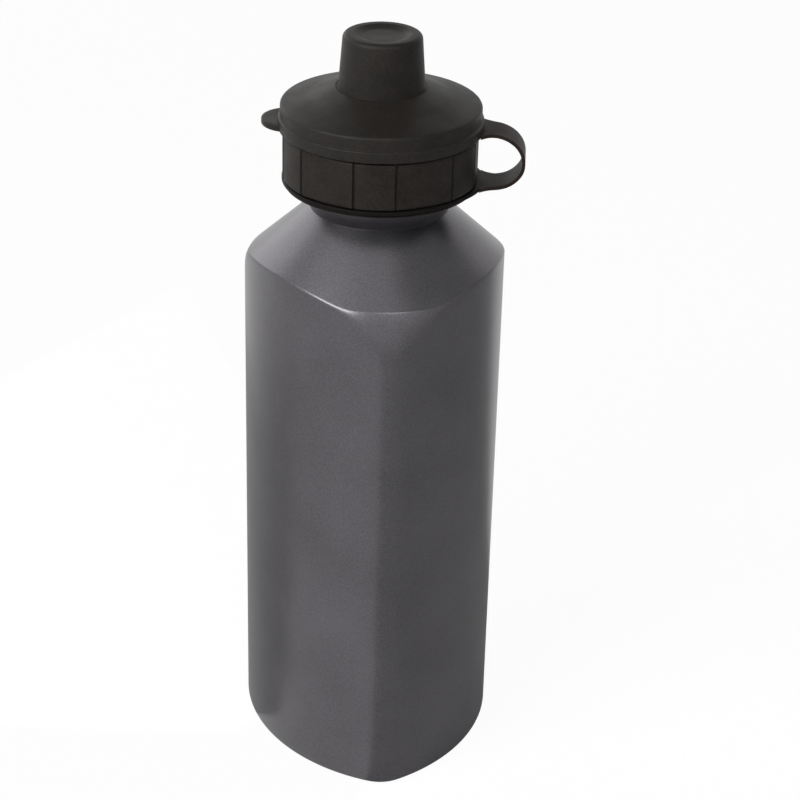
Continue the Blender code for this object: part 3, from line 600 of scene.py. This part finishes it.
def collar_edge(sizes, angles):
    """Distance from the axis to the collar's outside at each angle.

    Each panel is part of a circle of radius R whose middle lies off the axis by b, so the distance at an
    angle a from the panel's middle is b cos a + sqrt(R^2 - b^2 sin^2 a). The narrow ones follow the round
    collar, with b = 0. Smooth dips between the panels are the grooves.
    """
    step = math.tau / sizes.panel_count
    turn = (angles - sizes.panel_turn + sizes.wide_panel / 2) % step
    wide = turn < sizes.wide_panel
    width = np.where(wide, sizes.wide_panel, step - sizes.wide_panel)
    middle = np.where(wide, sizes.wide_panel / 2, (step + sizes.wide_panel) / 2)
    off = turn - middle
    half = width / 2 - sizes.groove_width / 2 / sizes.panel_edge
    radius = np.where(wide, sizes.panel_radius, sizes.panel_edge)
    chord = sizes.panel_edge * np.sin(half)
    back = sizes.panel_edge * np.cos(half) - np.sqrt(radius ** 2 - chord ** 2)
    distance = back * np.cos(off) + np.sqrt(radius ** 2 - (back * np.sin(off)) ** 2)
    to_groove = (width / 2 - np.abs(off)) * sizes.panel_edge
    flat_bottom = 0.12 * MM     # half of the groove's floor
    return distance - sizes.groove_depth * (1 - smooth(flat_bottom, sizes.groove_width / 2, to_groove))


def collar_angles(sizes):
    """Angles round the collar: evenly spaced over each panel and close together over each groove."""
    step = math.tau / sizes.panel_count
    starts = np.arange(sizes.panel_count) * step - sizes.wide_panel / 2 + sizes.panel_turn
    grooves = np.concatenate([starts, starts + sizes.wide_panel])
    near = sizes.groove_width * 0.6 / sizes.panel_edge
    close = grooves[:, None] + np.linspace(-near, near, 11)[None]
    wide = starts[:, None] + np.linspace(near, sizes.wide_panel - near, 15)[None, 1:-1]
    narrow = starts[:, None] + np.linspace(sizes.wide_panel + near, step - near, 10)[None, 1:-1]
    return np.sort(np.concatenate([close.ravel(), wide.ravel(), narrow.ravel()]))


class BOTTLE_OT_cap(bpy.types.Operator):
    """Build the screw cap: grooved collar, deck, drinking tower, stopper pin and inner thread"""

    bl_idname = "bottle.cap"
    bl_label = "Screw cap"

    def execute(self, context):
        sizes = context.scene.bottle_cap
        edge, bore, depth, deck, deck_top, top, edge_round = in_mm(
            sizes, "panel_edge", "skirt_bore", "skirt_depth", "deck_radius", "deck_top", "collar_top",
            "collar_round")
        boss, boss_top, stem, stem_bore, head, crown = in_mm(
            sizes, "boss_radius", "boss_top", "tower_radius", "tower_bore", "head_radius", "tower_top")
        deck_high = deck_top + sizes.deck_rise / MM
        seal = (SEAL_LOW.z + SEAL_HIGH.z) / 2 / MM - COLLAR_FOOT / MM
        seal_low, seal_high, seal_floor = seal - 0.75, seal + 0.75, head - 1.15
        ring_low = (RING_LOW.z - COLLAR_FOOT) / MM
        rib_in, rib_out, rib_foot = 18.4, 19.2, depth - 1.4     # the rib that centres the washer
        outline = rounded([
            (stem_bore, crown, 0.3), (head, crown, 0.35),
            (head, seal_high, 0.1), (seal_floor, seal_high, 0.2),
            (seal_floor, seal_low, 0.2), (head, seal_low, 0.1),
            (head, crown - 2.9, 0.2), (stem, crown - 3.3, 0.2),
            (stem, boss_top, 0.4), (boss, boss_top, 0.7),
            (boss, deck_high, 1.2), (deck - 3, deck_top + 0.25, 8.0), (deck, deck_top, 0.7),
            (deck, top, 0.3), (edge, top, edge_round), (edge, 0.4, edge_round), (bore + 0.7, 0.4, 0.1),
            (bore + 0.7, ring_low - 0.3, 0.1), (bore + 1.4, ring_low - 0.3, 0.15),
            (bore + 1.4, ring_low - 0.7, 0.15), (bore, ring_low - 0.7, 0.3),
            (bore, depth, 0.6), (rib_out, depth, 0.2), (rib_out, rib_foot, 0.2),
            (rib_in, rib_foot, 0.2), (rib_in, depth, 0.3), (boss - 2, depth, 0.5),
            (boss - 2, boss_top - 2, 0.5), (stem_bore, boss_top - 2, 0.4)], points=6)
        outline = refined(outline, 0.55 * MM)
        angles = collar_angles(sizes)
        radius, height = outline[:, :1], outline[:, 1:]
        # 1 on the collar's outside, which follows the panels, and 0 in its bore, which is round
        on_collar = (height > 0) * smooth(
            sizes.skirt_bore + 1.2 * MM, sizes.skirt_bore + 2.0 * MM, radius)
        radius = radius + on_collar * (collar_edge(sizes, angles)[None] - sizes.panel_edge)
        in_bore = np.abs(outline[:, :1] - sizes.skirt_bore) < 0.01 * MM
        height = height + COLLAR_FOOT
        body = context.scene.bottle_body
        neck_foot = SHELL_HIGH.z - body.neck_height
        # The inner thread runs half a pitch below the neck's, so that the two ridges lie in each other's gaps
        half_pitch = sizes.thread_pitch / 2
        ridge = thread(
            angles[None], height - neck_foot, sizes.thread_pitch,
            body.thread_start - half_pitch, body.thread_start + 3.5 * half_pitch + 5 * MM,
            sizes.thread_depth * 0.8)
        piece = skin("cap_moulding", around(radius - in_bore * ridge, height, angles), closed=True)

        tip = CAP_HIGH.z / MM
        pin_foot = tip - sizes.pin_length / MM
        thick = sizes.pin_radius / MM
        pin = rounded([
            (0, tip, 0), (thick, tip, 0.3), (thick, pin_foot, 0.2), (0, pin_foot, 0)], closed=False)
        fuse(piece, skin("stopper", around(pin[:, :1], pin[:, 1:], full_turn(48))))
        for i in range(3):
            fuse(piece, spoke(sizes, pin_foot * MM, math.tau * i / 3))
        finishes = context.scene.bottle_finishes
        dress(piece, moulded_plastic(
            "spark_eroded_polypropylene", finishes.cap_dark, finishes.cap_pale, 0.45 * MM, 0.5, 0.1))
        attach(piece, "cap")
        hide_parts("screw_cap")
        return {"FINISHED"}


def spoke(sizes, height, turn):
    """A flat spoke that holds the stopper pin: a rounded bar from inside the pin into the stem's wall."""
    start = sizes.pin_radius / 2
    end = (sizes.tower_bore + sizes.tower_radius) / 2
    section = rounded([(-0.5, 0.3, 0.2), (0.5, 0.3, 0.2), (0.5, 1.9, 0.2), (-0.5, 1.9, 0.2)], points=4)
    along = np.array([start, start, end, end])[:, None]
    scale = np.array([0.0, 1.0, 1.0, 0.0])[:, None]
    middle = section.mean(axis=0)
    across = middle[0] + (section[None, :, 0] - middle[0]) * scale
    up = height + middle[1] + (section[None, :, 1] - middle[1]) * scale
    rows = np.stack(np.broadcast_arrays(along, across, up), axis=-1)
    rows = rows @ np.array(Matrix.Rotation(turn, 3, "Z")).T
    return skin("spoke", rows)


class BOTTLE_OT_washers(bpy.types.Operator):
    """Build the sealing washer under the deck and the seal ring in the tower's head"""

    bl_idname = "bottle.washers"
    bl_label = "Washer and seal ring"

    def execute(self, context):
        finishes = context.scene.bottle_finishes
        silicone = moulded_plastic(
            "moulded_silicone_rubber", finishes.silicone, finishes.silicone_pale, 0.3 * MM, 0.6)
        angles = full_turn(160)
        low, high = GASKET_LOW.z / MM, GASKET_HIGH.z / MM
        outer, inner = GASKET_HIGH.x / MM, GASKET_HIGH.x / MM - 4.4
        section = rounded([
            (inner, high, 0.25), (outer, high, 0.25), (outer, low, 0.25), (inner, low, 0.25)], points=5)
        washer = skin("mouth_washer", around(section[:, :1], section[:, 1:], angles), closed=True)
        dress(washer, silicone)
        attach(washer, "washer")
        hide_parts("gasket")

        thick = (SEAL_HIGH.z - SEAL_LOW.z) / 2
        turn = -full_turn(20)[:, None]
        middle = (SEAL_LOW.z + SEAL_HIGH.z) / 2
        reach = SEAL_HIGH.x - thick + thick * np.cos(turn)
        seal = skin("tower_seal", around(reach, middle + thick * np.sin(turn), angles[::2]), closed=True)
        dress(seal, silicone)
        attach(seal, "cap")
        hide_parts("stem_seal")
        return {"FINISHED"}


class BOTTLE_OT_nozzle(bpy.types.Operator):
    """Build the pull-up drinking nozzle"""

    bl_idname = "bottle.nozzle"
    bl_label = "Nozzle"

    def execute(self, context):
        sizes = context.scene.bottle_nozzle
        low, high = NOZZLE_LOW.z / MM, NOZZLE_HIGH.z / MM
        flange = NOZZLE_HIGH.x / MM
        flange_height, top_wall, hole, bore, lip, mouth, mouth_round, waist = in_mm(
            sizes, "flange_height", "top_wall", "hole", "bore", "lip", "mouth", "mouth_round", "waist")
        flange_top = low + flange_height
        ceiling = high - top_wall
        outline = rounded([
            (hole, high, 0.35), (mouth, high, mouth_round), (mouth, high - 3.2, 1.5),
            (waist, (high + flange_top) / 2, 8.0), (mouth, flange_top, 1.1),
            (flange, flange_top, 0.5), (flange, low, 0.5),
            (bore, low, 0.25), (lip, low + 0.3, 0.15), (lip, low + 0.9, 0.15), (bore, low + 1.2, 0.2),
            (bore, ceiling, 0.5), (hole, ceiling + 1, 0.3)])
        outline = refined(outline, 1.0 * MM)
        angles = full_turn(128)
        piece = skin("mouthpiece", around(outline[:, :1], outline[:, 1:], angles), closed=True)
        finishes = context.scene.bottle_finishes
        dress(piece, moulded_plastic(
            "smooth_polyethylene", finishes.nozzle_dark, finishes.nozzle_pale, 0.5 * MM, 0.38))
        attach(piece, "nozzle")
        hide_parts("pull_nozzle")
        return {"FINISHED"}


def cover_outline(sizes):
    """Section of the dust cover, from the dished nub's middle down the outside and back up the inside."""
    low, high = COVER_LOW.z / MM, COVER_HIGH.z / MM
    bead = COVER_HIGH.x / MM
    band_inset, bead_height, skirt, lid_rise, lid_dip, wall, edge_round, bore = in_mm(
        sizes, "band_inset", "bead_height", "skirt_height", "lid_rise", "lid_dip", "lid_wall", "edge_round",
        "bore")
    foot, nub, nub_round, nub_wall, dish, hollow = in_mm(
        sizes, "nub_foot", "nub_radius", "nub_round", "nub_wall", "dish_radius", "dish_depth")
    band = bead - band_inset
    bead_top = low + bead_height
    edge = low + skirt
    rise = edge + lid_rise
    middle = (band + foot) / 2
    sag = (edge + rise) / 2 - lid_dip
    ceiling = high - hollow - nub_wall
    return rounded([
        (0, high - hollow, 0), (dish - 2.2, high - hollow + 0.08, 4.0), (dish, high, 1.2),
        (nub, high, nub_round), (foot, rise - 0.25, 0.12),
        (foot + 0.4, rise - 0.25, 0.12), (foot + 0.7, rise - 0.1, 0.2),
        (middle, sag, 20.0), (band, edge, edge_round),
        (band, bead_top + 0.1, 0.2), (bead, bead_top - 0.15, 0.8),
        (bead, low, 0.45), (bore, low, 0.3), (bore - 0.2, low + 0.9, 0.4),
        (bore, low + 1.6, 0.4), (bore, edge - 2 * wall, 0.6), (bore - wall / 2, edge - wall, 0.8),
        (middle, sag - wall, 20.0), (foot - nub_wall, rise - wall, 0.6),
        (nub - nub_wall, ceiling, 1.3), (0, ceiling, 0)], closed=False)


def tab(sizes):
    """Thumb tab: a crescent whose section is a rounded bar from inside the bead out to its own circle."""
    low, bead = COVER_LOW.z / MM, COVER_HIGH.x / MM
    circle, tab_reach, thick = in_mm(sizes, "tab_radius", "tab_reach", "tab_thickness")
    centre = bead + tab_reach - circle
    inner = bead - 1.1    # the tab's root lies inside the bead
    meeting = math.acos((centre ** 2 + inner ** 2 - circle ** 2) / (2 * centre * inner))
    widest = 0.97 * meeting    # just short of where the root and the tab's circle meet
    turn = np.linspace(-widest, widest, 49)[:, None]
    outer = centre * np.cos(turn) + np.sqrt(circle ** 2 - (centre * np.sin(turn)) ** 2)
    bar = rounded([(0, 0, 0.1), (1, 0, 0.4), (1, thick, 0.5), (0, thick, 0.1)], points=7) / MM
    reach = inner + (outer - inner - 1) * smooth(0.2, 0.8, bar[None, :, 0]) + bar[None, :, 0]
    height = np.broadcast_to(low + bar[None, :, 1], reach.shape)
    rows = np.stack([-reach * np.cos(turn), reach * np.sin(turn), height], axis=-1) * MM
    return skin("tab", capped(rows))


class BOTTLE_OT_cover(bpy.types.Operator):
    """Build the dust cover with its dished nub, bead and thumb tab"""

    bl_idname = "bottle.cover"
    bl_label = "Dust cover"

    def execute(self, context):
        sizes = context.scene.bottle_cover
        outline = refined(cover_outline(sizes), 1.2 * MM, closed=False)
        angles = full_turn(224)
        piece = skin("cover_moulding", around(outline[:, :1], outline[:, 1:], angles))
        fuse(piece, tab(sizes))
        finishes = context.scene.bottle_finishes
        dress(piece, moulded_plastic(
            "matt_polyethylene", finishes.cover_dark, finishes.cover_pale, 0.5 * MM, 0.5, 0.18))
        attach(piece, "cover")
        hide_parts("dust_cover")
        return {"FINISHED"}


def smooth_path(points, count):
    """A smooth line through a few points.

    Between each two it is a cubic, whose slope at a point is half the step between that point's neighbours.
    """
    points = np.asarray(points, float) * MM
    slope = np.gradient(points, axis=0)
    place = np.linspace(0, len(points) - 1, count)
    index = np.minimum(place.astype(int), len(points) - 2)
    t = (place - index)[:, None]
    return (
        (2 * t ** 3 - 3 * t ** 2 + 1) * points[index] + (t ** 3 - 2 * t ** 2 + t) * slope[index]
        + (3 * t ** 2 - 2 * t ** 3) * points[index + 1] + (t ** 3 - t ** 2) * slope[index + 1])


class BOTTLE_OT_tether(bpy.types.Operator):
    """Build the tether ring under the collar and the strap that bends up to the dust cover"""

    bl_idname = "bottle.tether"
    bl_label = "Ring and strap"

    def execute(self, context):
        sizes = context.scene.bottle_tether
        finishes = context.scene.bottle_finishes
        plastic = moulded_plastic(
            "thin_polyethylene", finishes.tether_dark, finishes.tether_pale, 0.5 * MM, 0.5, 0.08)
        angles = full_turn(288)
        off = sizes.ring_radius + sizes.root_reach - sizes.root_radius
        seen = np.clip(np.cos(angles), 0, 1)
        root = off * seen + np.sqrt(sizes.root_radius ** 2 - off ** 2 * (1 - seen ** 2))
        soft = 0.12 * MM    # the edge is the larger of two radii, and turns softly from one to the other
        edge = soft * np.logaddexp(sizes.ring_radius / soft, root / soft)
        low, high = RING_LOW.z / MM, RING_HIGH.z / MM
        section = rounded([(0, high, 0.1), (1, high, 0.3), (1, low, 0.3), (0, low, 0.1)], points=6)
        share = section[:, :1] / MM
        reach = sizes.ring_bore + (edge[None] - sizes.ring_bore) * share
        ring = skin("collar_ring", around(reach, section[:, 1:], angles), closed=True)
        # The ring's near-black colour is painted shade under the collar's overhang; its plastic is the
        # strap's
        dress(ring, moulded_plastic(
            "polyethylene_painted_shade", finishes.ring_painted_shade, finishes.cover_dark, 0.5 * MM, 0.5, 0.08))
        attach(ring, "tether")
        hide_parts("tether_ring")

        # The strap's middle, as millimetres from the axis and above the collar's foot
        path = smooth_path([
            (26.9, 14.45), (29.4, 14.45), (32.0, 14.15), (34.4, 13.25), (36.5, 11.7), (38.0, 9.5),
            (38.6, 6.9), (38.2, 4.2), (36.6, 1.9), (34.3, 0.3), (31.6, -0.45), (29.2, -0.55),
            (27.0, -0.55)], 97)
        path[:, 1] += COLLAR_FOOT
        along = np.gradient(path, axis=0)
        along /= np.linalg.norm(along, axis=1)[:, None]
        travel = np.concatenate([[0.0], np.cumsum(np.linalg.norm(np.diff(path, axis=0), axis=1))])
        to_root = np.minimum(travel, travel[-1] - travel)
        flared = np.clip(1 - to_root / sizes.flare_length, 0, 1) ** 2
        spread = 1 + 2 * sizes.flare / sizes.strap_width * flared
        wide, thick = sizes.strap_width / 2 / MM, sizes.strap_thickness / 2 / MM
        section = rounded([
            (-wide, -thick, 0.3), (wide, -thick, 0.3), (wide, thick, 0.3), (-wide, thick, 0.3)], points=6)
        section = refined(section, 1.0 * MM)
        normal = np.stack([-along[:, 1], along[:, 0]], axis=1)
        flat = path[:, None, :] + normal[:, None, :] * section[None, :, 1:]
        across = section[None, :, 0] * spread[:, None]
        rows = np.stack([flat[..., 0], across, flat[..., 1]], axis=-1)
        strap = skin("strap_ribbon", capped(rows))
        dress(strap, plastic)
        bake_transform(strap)
        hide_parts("strap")
        return {"FINISHED"}


def camera_turn(stage):
    """The camera's axes as columns: picture right, picture up and away from the scene.

    The line of sight turns by the yaw from +Y, dips by the pitch, and the picture then tilts by the roll.
    """
    ahead = Vector((
        math.sin(stage.yaw) * math.cos(stage.pitch),
        math.cos(stage.yaw) * math.cos(stage.pitch),
        -math.sin(stage.pitch)))
    level = Vector((math.cos(stage.yaw), -math.sin(stage.yaw), 0.0))
    below = ahead.cross(level)
    right = math.cos(stage.roll) * level + math.sin(stage.roll) * below
    down = -math.sin(stage.roll) * level + math.cos(stage.roll) * below
    return Matrix((right, -down, -ahead)).transposed()


def backdrop_share(tree):
    """1 for rays to the backdrop from the camera, by reflection or through glass, and 0 for the rest."""
    path = add(tree, "ShaderNodeLightPath")
    seen = add(tree, "ShaderNodeMath", {
        0: path.outputs["Is Camera Ray"], 1: path.outputs["Is Glossy Ray"]}, operation="MAXIMUM")
    return add(tree, "ShaderNodeMath", {
        0: seen, 1: path.outputs["Is Transmission Ray"]}, operation="MAXIMUM").outputs[0]


class BOTTLE_OT_stage(bpy.types.Operator):
    """Set up the camera, the pale floor, the room's light and the soft lamps"""

    bl_idname = "bottle.stage"
    bl_label = "Stage"

    def execute(self, context):
        stage = context.scene.bottle_stage
        scene = context.scene
        camera = bpy.data.objects.new("camera", bpy.data.cameras.new("camera"))
        camera.data.lens = stage.lens
        camera.data.sensor_width = 36.0
        camera.data.clip_start = 0.01
        camera.matrix_world = Matrix.Translation(stage.camera) @ camera_turn(stage).to_4x4()
        scene.collection.objects.link(camera)
        scene.camera = camera

        world = bpy.data.worlds.new("studio")
        world.use_nodes = True
        world.node_tree.nodes.clear()
        share = backdrop_share(world.node_tree)
        level = add(world.node_tree, "ShaderNodeMapRange", {
            "Value": share, "To Min": stage.ambient, "To Max": 1.0})
        room = add(world.node_tree, "ShaderNodeBackground", {
            "Color": (1, 1, 1, 1), "Strength": level})
        add(world.node_tree, "ShaderNodeOutputWorld", {"Surface": room})
        scene.world = world

        lamp("window", (-0.86, 0.86, 0.6), (1.2, 0.8), 3.2)
        lamp("key", (-0.71, -0.73, 0.81), (0.85, 0.5), 11.0)
        lamp("front", (0.24, -0.7, 0.85), (0.25, 0.25), 1.1)
        card("card_low", [
            (0.0, -0.045, 0.0005), (-0.25, -0.85, 0.0005), (0.5, -0.7, 0.0005), (0.9, 0.9, 0.0005),
            (0.03, 0.06, 0.0005)], "#e8e8e8")
        card("card_left", [
            (-0.038, -0.018, 0.0005), (-0.005, 0.05, 0.0005), (-0.1, 0.3, 0.0005), (-0.3, -0.03, 0.0005)],
            "#e8e8e8")
        card("card_right", [
            (0.42, -0.7, 0.0), (0.72, 0.5, 0.0), (0.72, 0.5, 1.8), (0.42, -0.7, 1.8)], "#e8e8e8")
        card("card_above", [
            (-0.4, 0.5, 0.7), (0.45, 0.5, 0.7), (0.45, 0.12, 1.1), (-0.4, 0.12, 1.1)], "#202020")

        scene.view_settings.view_transform = "Standard"
        floor(stage)
        return {"FINISHED"}


def lamp(name, place, size, watts):
    """A soft rectangular lamp that faces the upper part of the bottle."""
    light = bpy.data.lights.new(name, "AREA")
    light.shape = "RECTANGLE"
    light.size, light.size_y = size
    light.energy = watts
    holder = bpy.data.objects.new(name, light)
    holder.location = place
    aim = Vector((0.0, 0.0, 0.15)) - holder.location
    holder.rotation_euler = aim.to_track_quat("-Z", "Y").to_euler()
    bpy.context.scene.collection.objects.link(holder)


def flat_face(name, corners, finish):
    """One flat face with its finish."""
    mesh = bpy.data.meshes.new(name)
    mesh.from_pydata(corners, [], [range(len(corners))])
    mesh.materials.append(finish)
    made = bpy.data.objects.new(name, mesh)
    bpy.context.scene.collection.objects.link(made)
    return made


def card(name, corners, tone):
    """A matt card that the camera doesn't see, to dim what the bottle mirrors on one side."""
    made, tree = new_material("matt_grey_card")
    paper = add(tree, "ShaderNodeBsdfDiffuse", {"Color": linear(tone)})
    add(tree, "ShaderNodeOutputMaterial", {"Surface": paper})
    flat = flat_face(name, corners, made)
    flat.visible_camera = False
    flat.visible_shadow = False
    return flat


def floor(stage):
    """A wide level floor that shows the backdrop's white and keeps the bottle's shadow."""
    half, level = 3.0, -0.2 * MM
    made, tree = new_material("matt_white_backdrop_paper")
    paper = add(tree, "ShaderNodeBsdfDiffuse", {"Color": stage.floor})
    glow = add(tree, "ShaderNodeEmission", {"Color": (1, 1, 1, 1), "Strength": 1.0})
    backdrop = 0.96    # the rest is lit paper, which keeps the shadow
    share = add(tree, "ShaderNodeMath", {0: backdrop_share(tree), 1: backdrop}, operation="MULTIPLY")
    mixed = add(tree, "ShaderNodeMixShader", {0: share, 1: paper, 2: glow})
    add(tree, "ShaderNodeOutputMaterial", {"Surface": mixed})
    return flat_face("floor", [
        (-half, -half, level), (half, -half, level), (half, half, level), (-half, half, level)], made)


GROUPS = {
    "bottle_body": BottleBodySizes,
    "bottle_cap": BottleCapSizes,
    "bottle_nozzle": BottleNozzleSizes,
    "bottle_cover": BottleCoverSizes,
    "bottle_tether": BottleTetherSizes,
    "bottle_finishes": BottleFinishes,
    "bottle_stage": BottleStage,
}
OPERATORS = (
    BOTTLE_OT_stage,
    BOTTLE_OT_body,
    BOTTLE_OT_cap,
    BOTTLE_OT_washers,
    BOTTLE_OT_nozzle,
    BOTTLE_OT_cover,
    BOTTLE_OT_tether,
)


class BOTTLE_PT_panel(bpy.types.Panel):
    """Lists the bottle's steps and their sizes"""

    bl_label = "Aluminium water bottle"
    bl_idname = "BOTTLE_PT_panel"
    bl_space_type = "VIEW_3D"
    bl_region_type = "UI"
    bl_category = "Bottle"

    def draw(self, context):
        for step in OPERATORS:
            self.layout.operator(step.bl_idname)
        for name, group in GROUPS.items():
            box = self.layout.box()
            for key in group.__annotations__:
                box.prop(getattr(context.scene, name), key)


CLASSES = (*GROUPS.values(), *OPERATORS, BOTTLE_PT_panel)


def register():
    for made in CLASSES:
        bpy.utils.register_class(made)
    for name, group in GROUPS.items():
        setattr(bpy.types.Scene, name, PointerProperty(type=group))


def unregister():
    for name in GROUPS:
        delattr(bpy.types.Scene, name)
    for made in reversed(CLASSES):
        bpy.utils.unregister_class(made)


def main():
    register()
    bpy.ops.bottle.stage()
    bpy.ops.bottle.body()
    bpy.ops.bottle.cap()
    bpy.ops.bottle.washers()
    bpy.ops.bottle.nozzle()
    bpy.ops.bottle.cover()
    bpy.ops.bottle.tether()


if __name__ == "__main__":
    main()
